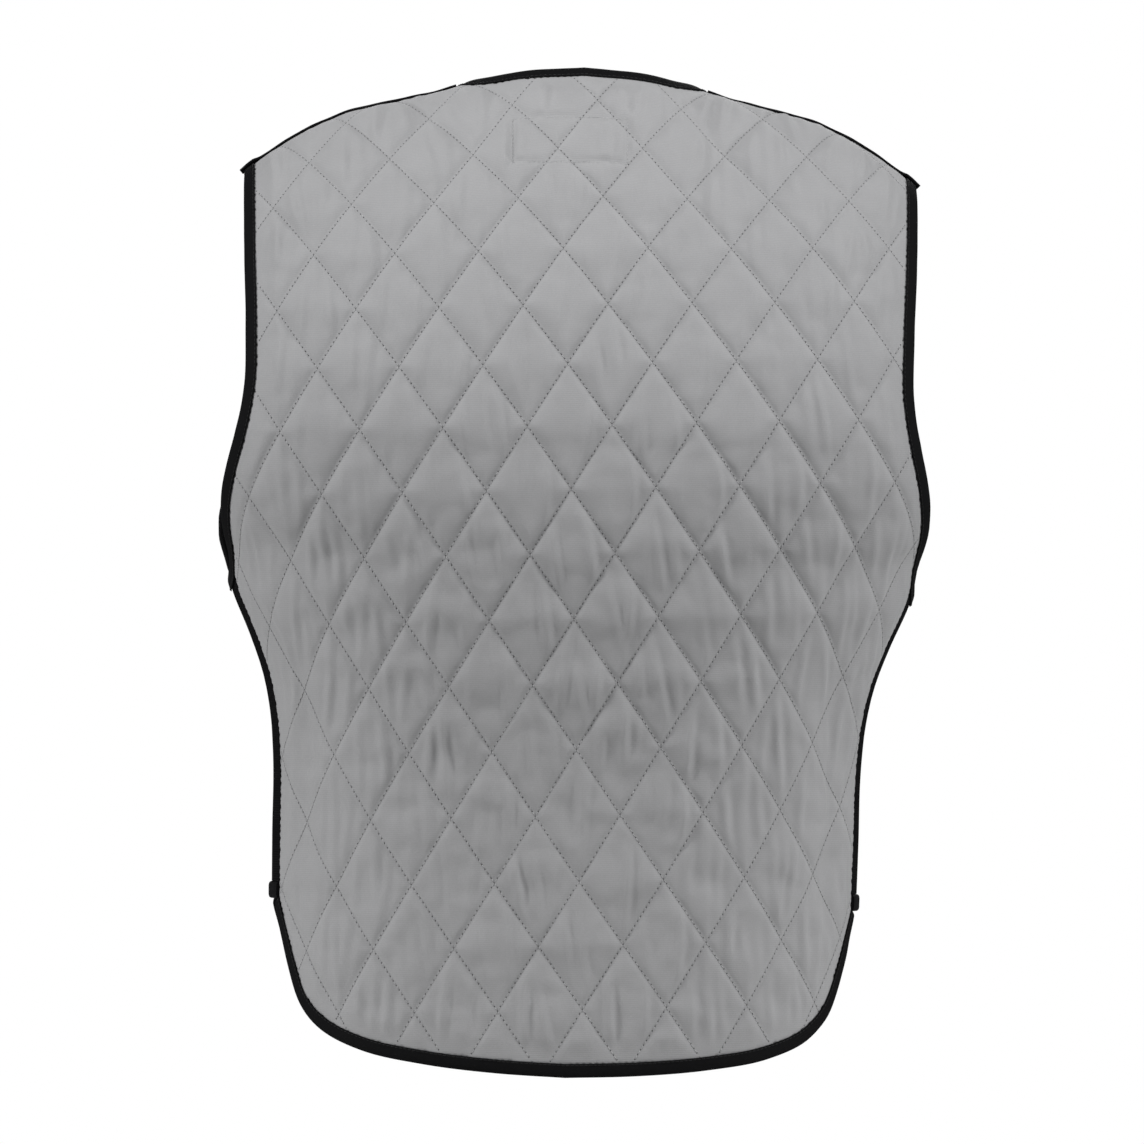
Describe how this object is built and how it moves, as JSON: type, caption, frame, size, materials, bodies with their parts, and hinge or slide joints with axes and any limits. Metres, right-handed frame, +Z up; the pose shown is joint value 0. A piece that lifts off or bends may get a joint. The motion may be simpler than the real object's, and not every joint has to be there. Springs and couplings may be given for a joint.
{
  "type": "cooling vest",
  "caption": "Sleeveless cooling vest of grey diamond-quilted cloth, with black bound edges, stretch side pieces, a V neck and a front zip, in its worn form.",
  "frame": {"origin": "midway between the two shoulders, on the line that joins the places where neck and shoulder meet", "axes": "+Z up the wearer's body, +Y to the wearer's front, +X to the wearer's right"},
  "size_m": [0.4628, 0.2808, 0.6591],
  "materials": {
    "grey_cloth": "matt quilted woven cloth",
    "black_tape": "matt woven binding tape",
    "black_knit": "matt ribbed stretch knit",
    "black_zip": "moulded plastic teeth",
    "zip_metal": "black painted zinc"
  },
  "bodies": {
    "root": {"back_panel": "grey_cloth", "front_panel_left": "grey_cloth", "front_panel_right": "grey_cloth", "side_panel_left": "black_knit", "side_panel_right": "black_knit", "armhole_binding_left": "black_tape", "armhole_binding_right": "black_tape", "shoulder_binding_left": "black_tape", "shoulder_binding_right": "black_tape", "neck_binding": "black_tape", "back_hem_binding": "black_tape", "front_hem_binding_left": "black_tape", "front_hem_binding_right": "black_tape", "side_band_left": "black_tape", "side_band_right": "black_tape", "zip_tape_left": "black_tape", "zip_tape_right": "black_tape", "zip_chain": "black_zip", "zip_slider": "zip_metal", "zip_pull": "zip_metal"}
  },
  "joints": []
}
